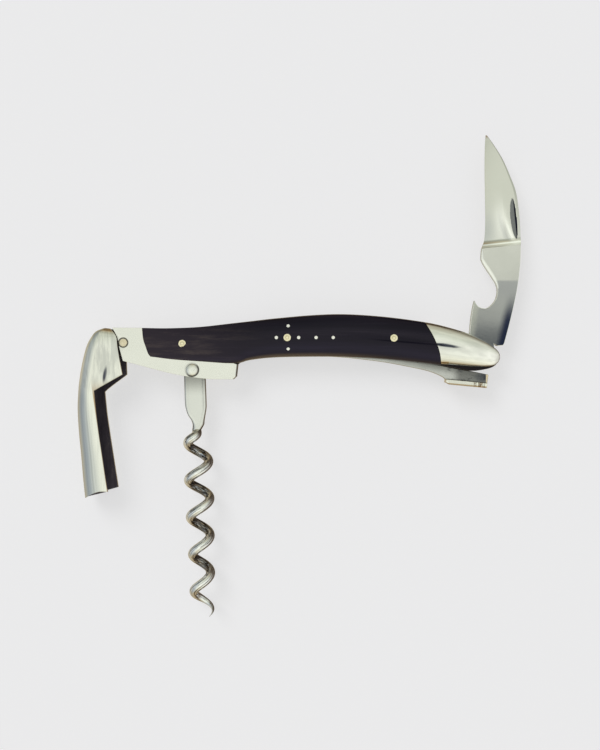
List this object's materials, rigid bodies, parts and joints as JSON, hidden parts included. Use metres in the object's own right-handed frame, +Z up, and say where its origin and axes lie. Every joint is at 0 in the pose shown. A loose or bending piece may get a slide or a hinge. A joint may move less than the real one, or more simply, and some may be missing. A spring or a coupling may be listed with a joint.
{
  "type": "waiters corkscrew",
  "caption": "Folding waiters corkscrew with a domed horn handle, a hinged bottle lever, a right-hand worm and a curved foil-cutter blade with a cap-lifting notch.",
  "frame": {"origin": "axis of the centre rivet, half way through the handle's thickness", "axes": "+X along the handle from the lever to the blade, +Y away from the viewer across the thickness, +Z up, with the worm hanging towards -Z"},
  "size_m": [0.1363, 0.0126, 0.1483],
  "materials": {
    "liner_steel": "satin",
    "bolster_steel": "fine satin",
    "polished_steel": "polished",
    "spring_steel": "satin",
    "worm_steel": "drawn wire, lightly scored along its length",
    "blade_steel": "mirror ground",
    "dark_horn": "polished, with faint streaks along the handle",
    "pin_brass": "polished flush",
    "pin_silver": "polished flush",
    "pivot_nickel": "polished"
  },
  "bodies": {
    "root": {"front_liner": "liner_steel", "rear_liner": "liner_steel", "front_scale": "dark_horn", "rear_scale": "dark_horn", "front_lever_bolster": "bolster_steel", "rear_lever_bolster": "bolster_steel", "front_end_bolster": "polished_steel", "rear_end_bolster": "polished_steel", "back_spring": "spring_steel", "spring_end_plate": "spring_steel", "lever_pivot_pin": "pivot_nickel", "worm_pivot_rivet": "bolster_steel", "blade_pivot_pin": "liner_steel", "centre_pin": "pin_brass", "left_pin": "pin_brass", "front_right_pin": "pin_brass", "rear_right_pin": "pin_brass", "front_cross_pins": "pin_silver", "rear_cross_pins": "pin_silver"},
    "lever": {"lever": "polished_steel"},
    "worm": {"worm": "worm_steel"},
    "blade": {"blade": "blade_steel"}
  },
  "joints": [
    {"name": "lever_hinge", "type": "hinge", "parent": "root", "child": "lever", "pos_m": [-0.0501, 0, -0.0015], "axis": [0, -1, 0], "range_deg": [0, 84]},
    {"name": "worm_hinge", "type": "hinge", "parent": "root", "child": "worm", "pos_m": [-0.0291, 0, -0.0098], "axis": [0, -1, 0], "range_deg": [0, 84]},
    {"name": "blade_hinge", "type": "hinge", "parent": "root", "child": "blade", "pos_m": [0.0605, 0, -0.0048], "axis": [0, -1, 0], "range_deg": [-90, 83]}
  ],
  "couplings": [
    {"joint": "worm_hinge", "follows": "lever_hinge", "ratio": 1}
  ]
}
